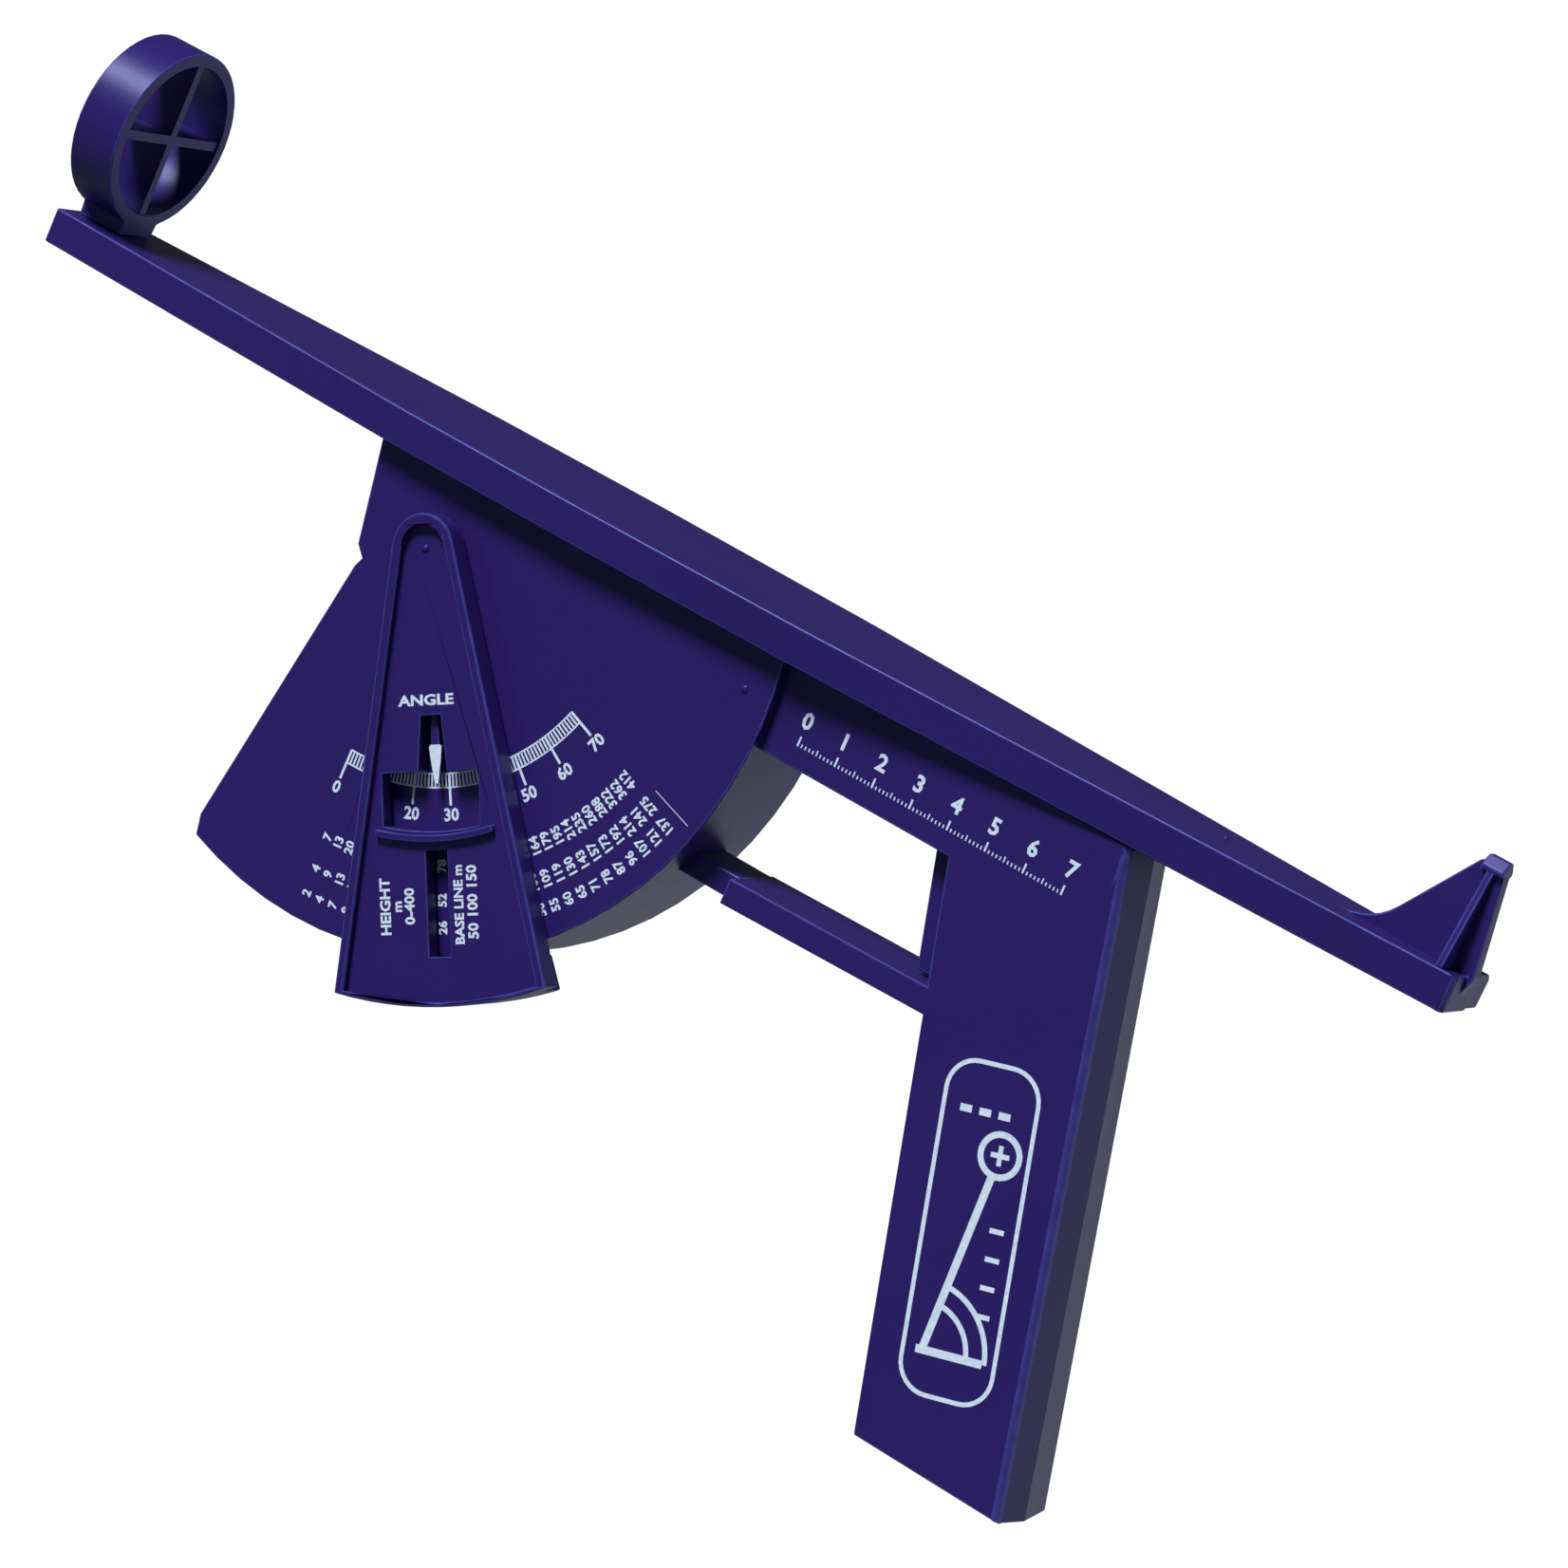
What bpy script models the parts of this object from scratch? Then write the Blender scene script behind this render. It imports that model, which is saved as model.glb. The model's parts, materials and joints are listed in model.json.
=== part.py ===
"""Hand-held inclinometer: a sight bar on a pistol grip, with a braked pendulum that hangs over a dial.

Shapes are drawn in millimetres from the pendulum's pivot: X runs along the sight bar towards the
user, Z is up and Y is the depth, counted from the middle plane with the dial side at -Y.
The part's own origin is the middle of the flat base of the grip.
"""
from math import acos, asin, atan2, cos, degrees, pi, radians, sin, sqrt

import bmesh
import bpy
from mathutils import Vector

MM = 0.001
GAP = 0.3                       # clearance between pieces that touch or nest
HALF_GAP = GAP / 2
WALL = 2.2                      # moulded wall
ROUND = 48                      # segments in a full turn of a large round piece
SMALL_ROUND = 20

# Body
PIVOT = Vector((-196.5, 0.0, 125.8))     # pivot, from the middle of the grip's base
READING = 28.9                           # elevation that the pendulum shows at rest, in degrees
SPLIT = -2.2                             # depth of the joint between the two shells
SECTOR_R = 90.6
SECTOR_Y = 15.3                          # half depth of the dial sector
HANDLE_Y = 12.6                          # depth of the panel, grip and guard on the dial side
FAR_Y = (7.6, 10.9)                      # depth of the far side at the body's top and at the grip's base
SECTOR_FROM = -18.6                      # the sector's arc, in degrees from straight down
BODY_TOP = 16.7
GRIP_BASE = -125.8
GRIP_FRONT_X = 140.7                     # the grip's front line where it crosses the pivot's height
GRIP_FRONT_RAKE = 0.2886
GRIP_REAR_X = 183.2
GRIP_REAR_RAKE = 0.2558
REAR_CROWN = 1.6                         # how far the grip's back swells at the joint
PANEL_BOTTOM = -4.1
GUARD_TOP = (-32.4, -31.2)               # at the guard's front end and at the grip
GUARD_BOTTOM = (-38.4, -37.1)
GUARD_X = (96.9, 152.0)
GUARD_NECK_Y = 7.3                       # half depth of the guard's neck and of its far side

# Sight bar
BAR_BOTTOM = 17.0
BAR_TOP = 25.3
BAR_ENDS = (-128.6, 254.2)
BAR_PLAN = ((-128.6, 12.0), (-18.0, 20.6), (30.0, 21.3), (90.0, 20.0), (252.8, 7.3))
BAR_WALL = 2.0
END_LUG_Y = 13.0                         # reach of the lug behind the bar's rear end

# Sights
RING_X = (-126.2, -113.8)
RING_Z = 49.5
RING_OUTER_R = 21.6
RING_INNER_R = 18.7
WEB = 2.2
RING_FOOT_Y = 6.4
PEG_Y = 4.0                                # the two pegs that hold the ring down in the bar
FIN_Y = 1.6                              # half thickness of the rear sight's fin
FIN_RIB_X = (248.7, 250.3)

# Pendulum
ARM_TOP_R = 7.9
ARM_END_R = 101.5
ARM_END_ANGLE = 15.6                     # half angle of the arm's lower end
HOUSING_ANGLE = 13.5                     # and of the weight housing behind it
ARM_FRONT = -21.9
ARM_FLOOR = (-20.2, -18.4)
ARM_BACK = -16.3
RIDGE = 2.4
NEEDLE_Y = (-18.2, -17.0)
VEE = ((-2.9, 2.1, -36.9), (-4.3, 3.4, -50.5))       # left, right and height of the slot's two ends
WINDOW_X = (-13.6, 11.2)
WINDOW_R = (49.4, 62.6)
SLOT_X = (-3.0, 2.5)
SLOT_Z = (-90.4, -66.8)
COLLAR = 1.2                             # wall round each opening
HOUSING_R = 93.4
HOUSING_BACK = -11.3
COVER_Y = (-11.0, -8.8)
STUB_R = 3.0
STUB_END = -2.3

# Brake and trigger
DRUM_R = 13.0
DRUM_Y = (-6.0, -2.3)
ROD_Z = 2.0
ROD_HALF = 2.5
TRIGGER_Y = (7.0, 4.8)                   # reach on the dial side and on the far side
TRIGGER_PROUD = 6.0                      # how far the trigger stands out of the grip
SPRING_X = (154.6, 176.0)
SPRING_R = 2.9
SPRING_WIRE_R = 0.4
SPRING_TURNS = 7

CASE_SCREWS = ((-15.5, 9.5), (-18.0, -74.0), (40.0, -70.0), (76.0, -32.0),
               (110.0, 10.4), (170.0, -14.0), (178.0, -62.0), (196.0, -115.0))
BAR_SCREWS_X = (30.0, 90.0, 150.0)
BAR_SCREW_Y = 2.2
BOSS_R = 3.4
SCREW_BORE_R = 1.8

INDIGO = (0.035, 0.018, 0.19)
GUN_METAL = (0.45, 0.46, 0.48)


# ---------------------------------------------------------------- building blocks

def material(name, color, roughness, metallic=0.0):
    """A Principled material, made once and shared."""
    found = bpy.data.materials.get(name)
    if found:
        return found
    made = bpy.data.materials.new(name)
    made.use_nodes = True
    shader = made.node_tree.nodes["Principled BSDF"]
    shader.inputs["Base Color"].default_value = (*color, 1.0)
    shader.inputs["Roughness"].default_value = roughness
    shader.inputs["Metallic"].default_value = metallic
    made.diffuse_color = (*color, 1.0)
    return made


def solid(mesh_builder):
    """Turn a bmesh into a scene object in metres, with its faces pointing out."""
    bmesh.ops.remove_doubles(mesh_builder, verts=mesh_builder.verts, dist=1e-5)
    bmesh.ops.recalc_face_normals(mesh_builder, faces=mesh_builder.faces)
    bmesh.ops.scale(mesh_builder, vec=(MM, MM, MM), verts=mesh_builder.verts)
    mesh = bpy.data.meshes.new("solid")
    mesh_builder.to_mesh(mesh)
    mesh_builder.free()
    made = bpy.data.objects.new("solid", mesh)
    bpy.context.scene.collection.objects.link(made)
    return made


def loft(loops):
    """A closed solid through loops of 3-D points that all have the same count."""
    builder = bmesh.new()
    rings = [[builder.verts.new(point) for point in loop] for loop in loops]
    count = len(rings[0])
    for lower, upper in zip(rings, rings[1:]):
        for i in range(count):
            j = (i + 1) % count
            builder.faces.new((lower[i], lower[j], upper[j], upper[i]))
    builder.faces.new(rings[0])
    builder.faces.new(rings[-1])
    return solid(builder)


def prism_y(outline, low, high):
    """Extrude an XZ outline in depth."""
    return loft([[(x, y, z) for x, z in outline] for y in (low, high)])


def prism_z(outline, low, high):
    """Extrude an XY outline upwards."""
    return loft([[(x, y, z) for x, y in outline] for z in (low, high)])


def prism_x(outline, low, high):
    """Extrude a YZ outline along the bar."""
    return loft([[(x, y, z) for y, z in outline] for x in (low, high)])


def box(x, y, z):
    """A block between pairs of X, Y and Z."""
    return prism_y([(x[0], z[0]), (x[1], z[0]), (x[1], z[1]), (x[0], z[1])], *y)


def arc(radius, start, end, steps, centre=(0.0, 0.0)):
    """Points on an arc, with its angles in degrees from straight down towards +X."""
    turns = [radians(start + (end - start) * i / steps) for i in range(steps + 1)]
    return [(centre[0] + radius * sin(a), centre[1] - radius * cos(a)) for a in turns]


def circle(radius, steps=SMALL_ROUND, centre=(0.0, 0.0)):
    """The points of a full circle."""
    return arc(radius, 0.0, 360.0 * (steps - 1) / steps, steps - 1, centre)


def turned(profile, centre, axis="y", steps=SMALL_ROUND):
    """A solid of revolution from (radius, distance along the axis) pairs that start and end at the axis."""
    def point(radius, along, angle):
        u, v = radius * cos(angle), radius * sin(angle)
        spot = {"x": (along, u, v), "y": (u, along, v), "z": (u, v, along)}[axis]
        return Vector(spot) + Vector(centre)

    builder = bmesh.new()
    angles = [2 * pi * i / steps for i in range(steps)]
    inner = profile[1:-1]
    rings = [[builder.verts.new(point(r, along, a)) for a in angles] for r, along in inner]
    for lower, upper in zip(rings, rings[1:]):
        for i in range(steps):
            j = (i + 1) % steps
            builder.faces.new((lower[i], lower[j], upper[j], upper[i]))
    for ring, (_, along) in ((rings[0], profile[0]), (rings[-1], profile[-1])):
        tip = builder.verts.new(point(0.0, along, 0.0))
        for i in range(steps):
            builder.faces.new((ring[i], ring[(i + 1) % steps], tip))
    return solid(builder)


def rod_y(x, z, radius, low, high, steps=SMALL_ROUND):
    """A round bar along Y."""
    return prism_y(circle(radius, steps, (x, z)), low, high)


def rod_z(x, y, radius, low, high, steps=SMALL_ROUND):
    """A round bar along Z."""
    return prism_z(circle(radius, steps, (x, y)), low, high)


def rod_x(y, z, radius, low, high, steps=SMALL_ROUND):
    """A round bar along X."""
    return prism_x(circle(radius, steps, (y, z)), low, high)


def combine(operation, base, tools):
    """Apply one Boolean after another to base and delete the tools."""
    for tool in tools:
        step = base.modifiers.new("step", "BOOLEAN")
        step.operation = operation
        step.solver = "EXACT"
        step.object = tool
    graph = bpy.context.evaluated_depsgraph_get()
    result = bpy.data.meshes.new_from_object(base.evaluated_get(graph))
    base.modifiers.clear()
    base.data = result
    for tool in tools:
        bpy.data.objects.remove(tool)
    return base


def join(base, *tools):
    """The union of solids."""
    return combine("UNION", base, tools)


def cut(base, *tools):
    """base without the tools."""
    return combine("DIFFERENCE", base, tools)


def mirrored(piece):
    """A copy of a piece mirrored in the middle plane."""
    builder = bmesh.new()
    builder.from_mesh(piece.data)
    bmesh.ops.scale(builder, vec=(1.0, -1.0, 1.0), verts=builder.verts)
    bmesh.ops.reverse_faces(builder, faces=builder.faces)
    mesh = bpy.data.meshes.new("mirrored")
    builder.to_mesh(mesh)
    builder.free()
    made = bpy.data.objects.new("mirrored", mesh)
    bpy.context.scene.collection.objects.link(made)
    return made


def finish(piece, name, finish_material, parent, sharp=30.0):
    """Name a piece, shade it, clean its mesh and hang it on its body's empty."""
    builder = bmesh.new()
    builder.from_mesh(piece.data)
    bmesh.ops.remove_doubles(builder, verts=builder.verts, dist=1e-6)
    bmesh.ops.dissolve_degenerate(builder, edges=builder.edges, dist=1e-6)
    builder.to_mesh(piece.data)
    builder.free()
    piece.name = name
    piece.data.name = name
    piece.data.materials.clear()
    piece.data.materials.append(finish_material)
    piece.data.shade_smooth()
    piece.data.set_sharp_from_angle(angle=radians(sharp))
    piece.parent = parent
    return piece


def body_empty(name, tilt=0.0):
    """The parent of a body's pieces, on the pivot axis."""
    made = bpy.data.objects.new(name, None)
    made.location = PIVOT * MM
    made.rotation_euler.y = -radians(tilt)
    bpy.context.scene.collection.objects.link(made)
    return made


# ---------------------------------------------------------------- outlines

def grip_front(z):
    """X of the grip's front line at a height."""
    return GRIP_FRONT_X - GRIP_FRONT_RAKE * z


def grip_rear(z):
    """X of the grip's rear line at a height."""
    return GRIP_REAR_X - GRIP_REAR_RAKE * z


def sector_outline():
    """The dial sector with its neck, whose front edge has a small step."""
    top_angle = degrees(acos(-BODY_TOP / SECTOR_R))
    neck = [(-23.9, BODY_TOP), (-19.2, -8.0), (-16.9, -10.4), (-17.9, -12.6), (-29.9, -81.0)]
    return neck + arc(SECTOR_R, SECTOR_FROM, top_angle, ROUND // 2)


def sector_cavity():
    """The space inside the sector's walls."""
    radius = SECTOR_R - WALL
    ceiling = BODY_TOP - WALL
    top_angle = degrees(acos(-ceiling / radius))
    neck = [(-21.2, ceiling), (-14.8, -10.4), (-27.4, -81.0)]
    return neck + arc(radius, degrees(asin(-26.6 / radius)), top_angle, ROUND // 2)


def handle_outline(inset=0.0, crown=0.0):
    """The panel and the raked grip behind it, in one outline."""
    base = GRIP_BASE + inset
    top = BODY_TOP - inset
    bottom = PANEL_BOTTOM + inset
    left = 80.0
    return [(left, top), (grip_rear(top) - inset + crown, top), (grip_rear(base) - inset + crown, base),
            (grip_front(base) + inset, base), (grip_front(bottom) + inset, bottom), (left, bottom)]


def guard_outline():
    """The guard's side view behind its neck."""
    return [(GUARD_X[0], GUARD_TOP[0]), (GUARD_X[1], GUARD_TOP[1]),
            (GUARD_X[1], GUARD_BOTTOM[1]), (GUARD_X[0], GUARD_BOTTOM[0])]


def neck_outline():
    """The thinner front end of the guard, which stops inside the sector's rim."""
    rear_x, top, bottom = GUARD_X[0] + 3.0, GUARD_TOP[0] - 0.3, GUARD_BOTTOM[0] + 0.3
    rim = SECTOR_R - WALL / 2
    return [(sqrt(rim * rim - top * top), top), (rear_x, top), (rear_x, bottom),
            (sqrt(rim * rim - bottom * bottom), bottom)]


def bar_half_width(x):
    """Half width of the sight bar at a station."""
    for (x0, w0), (x1, w1) in zip(BAR_PLAN, BAR_PLAN[1:]):
        if x <= x1:
            return w0 + (w1 - w0) * (x - x0) / (x1 - x0)
    return BAR_PLAN[-1][1]


def bar_outline(inset=0.0):
    """The bar from above: widest over the dial, with rounded rear corners."""
    end_x, end_half = BAR_ENDS[1] - inset, BAR_PLAN[-1][1] - inset
    corner = max(1.4 - inset, 0.2)
    side = [(x, w - inset) for x, w in BAR_PLAN[:-1]]
    side[0] = (BAR_ENDS[0] + inset, side[0][1])
    side += [(end_x - corner + px, end_half - corner + py)
             for px, py in ((corner * sin(a), corner * cos(a)) for a in (0.0, pi / 6, pi / 3, pi / 2))]
    return side + [(x, -y) for x, y in reversed(side)]


def arm_outline(inset=0.0, end_inset=None):
    """The pendulum's face: a round top over the pivot and a wide curved lower end."""
    end_r = ARM_END_R - (inset if end_inset is None else end_inset)
    top_r = ARM_TOP_R - inset
    taper = radians(ARM_END_ANGLE) - asin(ARM_TOP_R / ARM_END_R)
    end_angle = degrees(taper + asin(top_r / end_r))
    shoulder = 90.0 + degrees(taper)
    return arc(end_r, -end_angle, end_angle, 12) + arc(top_r, shoulder, 360.0 - shoulder, 14)


def polar_block(inner_r, outer_r, half_angle, low, high, steps=12):
    """A curved block about the pivot, centred straight below it."""
    outline = arc(outer_r, -half_angle, half_angle, steps) + arc(inner_r, half_angle, -half_angle, steps)
    return prism_y(outline, low, high)


# ---------------------------------------------------------------- body shells

def near_depth(z):
    """Depth of the panel and grip on the dial side."""
    return HANDLE_Y


def far_depth(z):
    """Depth of the panel and grip on the far side, which draws in towards the top."""
    return FAR_Y[0] + (FAR_Y[1] - FAR_Y[0]) * (BODY_TOP - z) / (BODY_TOP - GRIP_BASE)


def plain_half_shell(mid, depth, guard_y, trigger_y, fence_y):
    """A half of the body, drawn on the dial side as far as mid, without any bearing or screw work."""
    shell = prism_y(sector_outline(), -SECTOR_Y, mid)
    handle = loft([[(x, -depth(z), z) for x, z in handle_outline()],
                   [(x, mid, z) for x, z in handle_outline(crown=REAR_CROWN)]])
    guard = prism_y(guard_outline(), -guard_y, mid)
    neck = prism_y(neck_outline(), -GUARD_NECK_Y + 0.1, mid)
    shell = join(shell, handle, guard, neck)
    over = mid + 0.6
    sector_space = prism_y(sector_cavity(), -SECTOR_Y + WALL, over)
    handle_space = loft([[(x, -depth(z) + WALL, z) for x, z in handle_outline(WALL)],
                         [(x, over, z) for x, z in handle_outline(WALL)]])
    slot_front = GUARD_TOP[1] + HALF_GAP
    slot = box((grip_front(PANEL_BOTTOM) - 8.0, grip_front(slot_front) + 4.0),
               (-trigger_y - GAP, over), (slot_front, PANEL_BOTTOM))
    shell = cut(shell, sector_space, handle_space, slot)
    tab_y = -depth(BODY_TOP) + 2.6
    tabs = [box((x - 7.0, x + 7.0), (tab_y, tab_y + 2.0), (BODY_TOP - 1.0, BODY_TOP + 4.4))
            for x in (0.0, 60.0, 120.0)]
    inside = -depth(8.0) + WALL - 0.4
    seat = box((SPRING_X[1] + GAP, SPRING_X[1] + 2.3), (inside, mid), (-3.0, 8.0))
    fence = [box((x, x + 1.6), (inside, fence_y), (-2.2, 6.0)) for x in (98.0, 126.0)]
    return join(shell, seat, *tabs, *fence)


def cavity_floor(x, z, depth):
    """How far the cavity reaches from the middle plane at a spot."""
    inside_sector = sqrt(x * x + z * z) < SECTOR_R
    return (SECTOR_Y if inside_sector else depth(z)) - WALL


def front_shell(empty):
    """Dial-side half: bearing sleeve for the pendulum and blind screw bosses."""
    mid = SPLIT - HALF_GAP
    shell = plain_half_shell(mid, near_depth, HANDLE_Y, TRIGGER_Y[0], -7.0)
    bosses = [rod_y(x, z, BOSS_R, -cavity_floor(x, z, near_depth) - 0.4, mid) for x, z in CASE_SCREWS]
    sleeve = rod_y(0.0, 0.0, 7.3, -SECTOR_Y + WALL - 0.4, -8.3, 32)
    shell = join(shell, sleeve, *bosses)
    bore = rod_y(0.0, 0.0, 5.3, -SECTOR_Y - 1.0, -7.0, 32)
    pilots = [rod_y(x, z, SCREW_BORE_R, -8.5, SPLIT + 1.0) for x, z in CASE_SCREWS]
    shell = cut(shell, bore, *pilots)
    return finish(shell, "body_front_shell", indigo(), empty)


def rear_shell(empty):
    """Far half: screw sleeves with sunk heads, and the holes for the bar's own screws."""
    mid = SPLIT + HALF_GAP
    base = plain_half_shell(-mid, far_depth, GUARD_NECK_Y, TRIGGER_Y[1], 1.0)
    shell = mirrored(base)
    bpy.data.objects.remove(base)
    sleeves = [rod_y(x, z, BOSS_R, mid, cavity_floor(x, z, far_depth) + 0.4) for x, z in CASE_SCREWS]
    shell = join(shell, *sleeves)
    holes = [rod_y(x, z, SCREW_BORE_R, SPLIT - 1.0, 20.0) for x, z in CASE_SCREWS]
    sinks = [rod_y(x, z, 3.3, cavity_floor(x, z, far_depth), 20.0, 24) for x, z in CASE_SCREWS]
    bar_holes = [rod_z(x, BAR_SCREW_Y, SCREW_BORE_R, BODY_TOP - WALL - 1.0, BODY_TOP + 1.0)
                 for x in BAR_SCREWS_X]
    shell = cut(shell, *holes, *sinks, *bar_holes)
    return finish(shell, "body_rear_shell", indigo(), empty)


# ---------------------------------------------------------------- sight bar and sights

def rear_fin():
    """The rear sight: a fin with a concave foot, a chamfered cap and one cross rib."""
    foot_r, slope = 14.0, radians(55.8)
    foot = [(222.6 + foot_r * sin(a), BAR_TOP + foot_r * (1 - cos(a)))
            for a in (slope * i / 6 for i in range(7))]
    under = BAR_TOP - 1.0
    outline = [(222.0, under), (222.0, BAR_TOP)] + foot[1:] + [(246.2, 48.6), (252.1, 48.6),
                                                             (255.8, BAR_TOP), (254.0, 20.6), (252.6, under)]
    fin = prism_y(outline, -FIN_Y, FIN_Y)
    cap = prism_x([(-2.8, 46.9), (2.8, 46.9), (2.8, 48.1), (1.0, 50.2), (-1.0, 50.2), (-2.8, 48.1)],
                  246.9, 252.3)
    foot_half, head_half = bar_half_width(FIN_RIB_X[0]) - 0.3, 2.7
    rib = prism_x([(-foot_half, under), (foot_half, under), (foot_half, BAR_TOP + 0.5),
                   (head_half, 47.4), (-head_half, 47.4), (-foot_half, BAR_TOP + 0.5)], *FIN_RIB_X)
    return fin, cap, rib


def end_lug():
    """A flat lug that reaches out behind the bar's rear end, with its top corner rounded."""
    corner = arc(2.5, 90.0, 180.0, 5, (END_LUG_Y - 2.5, BAR_TOP - 2.6))
    section = [(4.0, BAR_BOTTOM + 0.1), (END_LUG_Y, BAR_BOTTOM + 0.1)] + corner + [(4.0, BAR_TOP - 0.1)]
    return prism_x(section, BAR_ENDS[1] - 4.0, BAR_ENDS[1] - 0.2)


def sight_bar(empty):
    """A moulded channel, open below, with the rear sight moulded on and bosses for its screws."""
    bar = prism_z(bar_outline(), BAR_BOTTOM, BAR_TOP)
    channel = prism_z(bar_outline(BAR_WALL), BAR_BOTTOM - 1.0, BAR_TOP - WALL)
    bar = join(cut(bar, channel), *rear_fin(), end_lug())
    ribs = []
    for x in (-100.0, -66.0, 188.0, 216.0):
        half = bar_half_width(x) - 1.0
        ribs.append(box((x, x + 1.6), (-half, half), (BAR_BOTTOM + 1.4, BAR_TOP - 1.5)))
    bosses = [rod_z(x, BAR_SCREW_Y, 3.2, BAR_BOTTOM + 0.2, BAR_TOP - 1.6) for x in BAR_SCREWS_X]
    bar = join(bar, *ribs, *bosses)
    pilots = [rod_z(x, BAR_SCREW_Y, SCREW_BORE_R, BAR_BOTTOM - 1.0, BAR_TOP - 1.4) for x in BAR_SCREWS_X]
    peg_x = sum(RING_X) / 2
    peg_holes = [rod_z(peg_x, y, 1.8, BAR_BOTTOM, BAR_TOP + 1.0) for y in (-PEG_Y, PEG_Y)]
    bar = cut(bar, *pilots, *peg_holes)
    return finish(bar, "sight_bar", indigo(), empty)


def front_ring(empty):
    """The front sight: a short tube with full-depth cross webs, on a foot with two pegs."""
    centre = (0.0, RING_Z)
    ring = prism_x(circle(RING_OUTER_R, ROUND, centre), *RING_X)
    spread = asin(RING_FOOT_Y / RING_OUTER_R)
    join_z = RING_Z - RING_OUTER_R * cos(spread)
    foot_bottom = BAR_TOP + GAP
    foot = prism_x([(-RING_FOOT_Y, foot_bottom), (RING_FOOT_Y, foot_bottom),
                    (RING_FOOT_Y, join_z), (RING_FOOT_Y + 2.2, join_z + 2.4), (0.0, RING_Z - 19.5),
                    (-RING_FOOT_Y - 2.2, join_z + 2.4), (-RING_FOOT_Y, join_z)], *RING_X)
    ring = join(ring, foot)
    bore = prism_x(circle(RING_INNER_R, ROUND, centre), RING_X[0] - 1.0, RING_X[1] + 1.0)
    ring = cut(ring, bore)
    reach = RING_INNER_R + 1.0
    web_x = (RING_X[0] + 0.8, RING_X[1] - 0.5)
    upright = box(web_x, (-WEB / 2, WEB / 2), (RING_Z - reach, RING_Z + reach))
    level = box(web_x, (-reach, reach), (RING_Z - WEB / 2, RING_Z + WEB / 2))
    peg_x = sum(RING_X) / 2
    pegs = [rod_z(peg_x, y, 1.5, BAR_TOP - WALL - 1.2, foot_bottom + 0.6) for y in (-PEG_Y, PEG_Y)]
    ring = join(ring, upright, level, *pegs)
    return finish(ring, "front_sight_ring", indigo(), empty)


# ---------------------------------------------------------------- pendulum

def vee_outline(margin=0.0):
    """The narrow slot above the window, widening downwards."""
    (left, right, top), (low_left, low_right, low) = VEE
    return [(left - margin, top + margin), (right + margin, top + margin),
            (low_right + margin, low), (low_left - margin, low)]


def window_outline(margin=0.0):
    """The wide window over the degree scale, with its curved lower edge."""
    left, right = WINDOW_X[0] - margin, WINDOW_X[1] + margin
    low_r = WINDOW_R[1] + margin
    edge = arc(low_r, degrees(asin(left / low_r)), degrees(asin(right / low_r)), 8)
    return edge + [(right, -WINDOW_R[0] + margin), (left, -WINDOW_R[0] + margin)]


def pendulum_arm(empty):
    """The pendulum's moulded tray: raised ridge, windows, needle, housing block and hollow stub."""
    arm = prism_y(arm_outline(), ARM_FRONT, ARM_BACK)
    housing = polar_block(HOUSING_R, ARM_END_R, HOUSING_ANGLE, ARM_FRONT + 1.0, HOUSING_BACK)
    arm = join(arm, housing)
    face = prism_y(arm_outline(RIDGE, 1.1), ARM_FRONT - 1.0, ARM_FLOOR[0])
    tray_back = arm_outline(2.0, ARM_END_R - HOUSING_R + 2.4)
    back = prism_y(tray_back, ARM_FLOOR[1], ARM_BACK + 1.0)
    arm = cut(arm, face, back)

    collar_y = (ARM_FLOOR[1] - 0.5, ARM_BACK)
    slot_x = (SLOT_X[0] - COLLAR, SLOT_X[1] + COLLAR)
    slot_z = (SLOT_Z[0] - COLLAR, SLOT_Z[1] + COLLAR)
    collars = [prism_y(vee_outline(COLLAR), *collar_y), prism_y(window_outline(COLLAR), *collar_y),
               box(slot_x, collar_y, slot_z)]
    rib_r = WINDOW_R[1] + 0.8
    rib = polar_block(rib_r, rib_r + 1.6, 13.6, ARM_FRONT + 0.2, ARM_FLOOR[0] + 0.4)
    hub = rod_y(0.0, 0.0, 6.0, ARM_FLOOR[1] - 0.4, -SECTOR_Y - 0.5, 32)
    stub = rod_y(0.0, 0.0, STUB_R, ARM_FLOOR[1] - 0.6, STUB_END, 32)
    arm = join(arm, rib, hub, stub, *collars)

    through = (ARM_FRONT, ARM_BACK + 1.0)
    window = prism_y(window_outline(), *through)
    vee = prism_y(vee_outline(), *through)
    slot = box(SLOT_X, through, SLOT_Z)
    screw_bore = rod_y(0.0, 0.0, 1.5, STUB_END - 9.0, STUB_END + 1.0)
    pocket = polar_block(95.0, 99.9, 9.8, ARM_FLOOR[0] + 0.9, HOUSING_BACK + 1.0)
    cover_pilots = [rod_y(x, z, 1.2, -17.0, HOUSING_BACK + 1.0, 12) for x, z in cover_screw_spots()]
    arm = cut(arm, window, vee, slot, screw_bore, pocket, *cover_pilots)

    top = VEE[0][2] + 0.7
    tongue = [(0.75, top), (1.1, -43.4), (1.6, -43.8), (1.3, -46.6), (0.45, -52.0)]
    needle = prism_y([(x - 0.7, z) for x, z in tongue + [(-x, z) for x, z in reversed(tongue)]], *NEEDLE_Y)
    arm = join(arm, needle)
    return finish(arm, "pendulum_arm", indigo(), empty)


def cover_screw_spots():
    """Where the two cover screws sit in the pendulum's lower end."""
    spread = 11.7
    radius = (HOUSING_R + ARM_END_R) / 2
    return arc(radius, -spread, spread, 1)


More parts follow.
